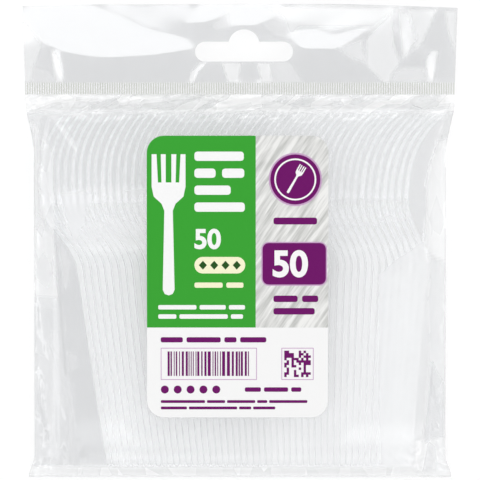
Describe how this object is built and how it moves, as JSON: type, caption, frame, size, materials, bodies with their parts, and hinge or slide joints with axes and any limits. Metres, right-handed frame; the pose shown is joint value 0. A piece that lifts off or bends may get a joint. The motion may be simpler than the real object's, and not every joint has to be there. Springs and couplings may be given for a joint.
{
  "type": "plastic cutlery pack",
  "caption": "Clear film hang bag with a slotted header and a crimped seal, holding a nested row of clear plastic forks on their side edges, with a printed label on its front.",
  "frame": {"origin": "centre of the pack's bounding box, on the plane that its back film rests on", "axes": "+Y from the bottom fold towards the header, +Z out of the front film, +X to the right as the front is seen"},
  "size_m": [0.2178, 0.2374, 0.0284],
  "materials": {
    "film": "clear glossy film, wrinkled",
    "label": "coated paper printed with plain fields of green, pale grey, white and purple",
    "fork": "clear moulded polystyrene"
  },
  "bodies": {
    "root": {"film_bag": "film", "front_label": "label", "fork_01": "fork", "fork_02": "fork", "fork_03": "fork", "fork_04": "fork", "fork_05": "fork", "fork_06": "fork", "fork_07": "fork", "fork_08": "fork", "fork_09": "fork", "fork_10": "fork", "fork_11": "fork", "fork_12": "fork", "fork_13": "fork", "fork_14": "fork", "fork_15": "fork", "fork_16": "fork", "fork_17": "fork", "fork_18": "fork", "fork_19": "fork", "fork_20": "fork", "fork_21": "fork", "fork_22": "fork", "fork_23": "fork", "fork_24": "fork", "fork_25": "fork", "fork_26": "fork", "fork_27": "fork", "fork_28": "fork", "fork_29": "fork", "fork_30": "fork", "fork_31": "fork", "fork_32": "fork", "fork_33": "fork", "fork_34": "fork", "fork_35": "fork", "fork_36": "fork", "fork_37": "fork", "fork_38": "fork", "fork_39": "fork", "fork_40": "fork", "fork_41": "fork", "fork_42": "fork", "fork_43": "fork", "fork_44": "fork", "fork_45": "fork", "fork_46": "fork", "fork_47": "fork", "fork_48": "fork", "fork_49": "fork", "fork_50": "fork"}
  },
  "joints": []
}
